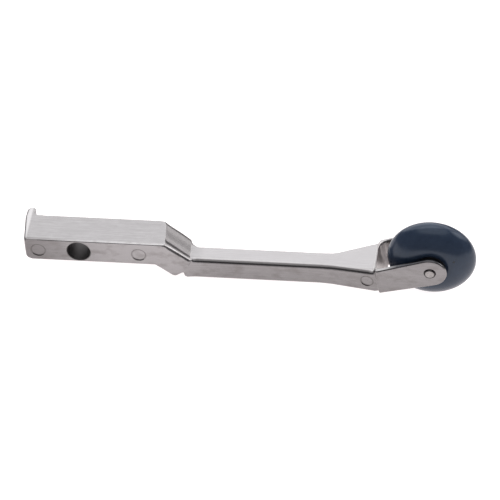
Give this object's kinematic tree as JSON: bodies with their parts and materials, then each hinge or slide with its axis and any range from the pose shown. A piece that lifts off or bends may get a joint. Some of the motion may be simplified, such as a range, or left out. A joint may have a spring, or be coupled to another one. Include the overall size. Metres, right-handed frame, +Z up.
{
  "type": "contact arm",
  "caption": "Cast contact arm of a narrow-belt file: a bar plugs into the tool and a forked end carries a crowned contact wheel on ball bearings.",
  "frame": {"origin": "centre of the flat top of the mounting bar, between its tail end and the bend of the jog", "axes": "+X along the arm towards the wheel, +Y towards the far side, where the tail lug stands out, +Z up out of the bar's top. The wheel turns about an axis along Y."},
  "size_m": [0.1312, 0.0155, 0.0254],
  "materials": {
    "cast_aluminium": "tumbled die casting, satin",
    "pin_steel": "ground",
    "bearing_steel": "ground and polished bearing steel",
    "cage_steel": "pressed strip",
    "hub_aluminium": "turned",
    "washer_steel": "black oxide",
    "seal_rubber": "matt moulded",
    "navy_urethane": "smooth moulded, semi-gloss"
  },
  "bodies": {
    "arm": {"arm_casting": "cast_aluminium", "axle_pin": "pin_steel", "bearing_spacer": "pin_steel", "near_thrust_washer": "washer_steel", "far_thrust_washer": "washer_steel", "near_inner_race": "bearing_steel", "far_inner_race": "bearing_steel"},
    "wheel": {"wheel_tyre": "navy_urethane", "wheel_hub": "hub_aluminium", "near_outer_race": "bearing_steel", "near_outboard_seal": "seal_rubber", "near_inboard_seal": "seal_rubber", "far_outer_race": "bearing_steel", "far_outboard_seal": "seal_rubber", "far_inboard_seal": "seal_rubber"},
    "near_cage_set": {"near_cage": "cage_steel", "near_ball_1": "bearing_steel", "near_ball_2": "bearing_steel", "near_ball_3": "bearing_steel", "near_ball_4": "bearing_steel", "near_ball_5": "bearing_steel", "near_ball_6": "bearing_steel", "near_ball_7": "bearing_steel"},
    "far_cage_set": {"far_cage": "cage_steel", "far_ball_1": "bearing_steel", "far_ball_2": "bearing_steel", "far_ball_3": "bearing_steel", "far_ball_4": "bearing_steel", "far_ball_5": "bearing_steel", "far_ball_6": "bearing_steel", "far_ball_7": "bearing_steel"}
  },
  "joints": [
    {"name": "wheel_spin", "type": "hinge", "parent": "arm", "child": "wheel", "pos_m": [0.09735, 0.0002, -0.00465], "axis": [0, 1, 0], "continuous": true},
    {"name": "near_cage_spin", "type": "hinge", "parent": "arm", "child": "near_cage_set", "pos_m": [0.09735, 0.0002, -0.00465], "axis": [0, 1, 0], "continuous": true},
    {"name": "far_cage_spin", "type": "hinge", "parent": "arm", "child": "far_cage_set", "pos_m": [0.09735, 0.0002, -0.00465], "axis": [0, 1, 0], "continuous": true}
  ],
  "couplings": [
    {"joint": "near_cage_spin", "follows": "wheel_spin", "ratio": 0.625},
    {"joint": "far_cage_spin", "follows": "wheel_spin", "ratio": 0.625}
  ]
}
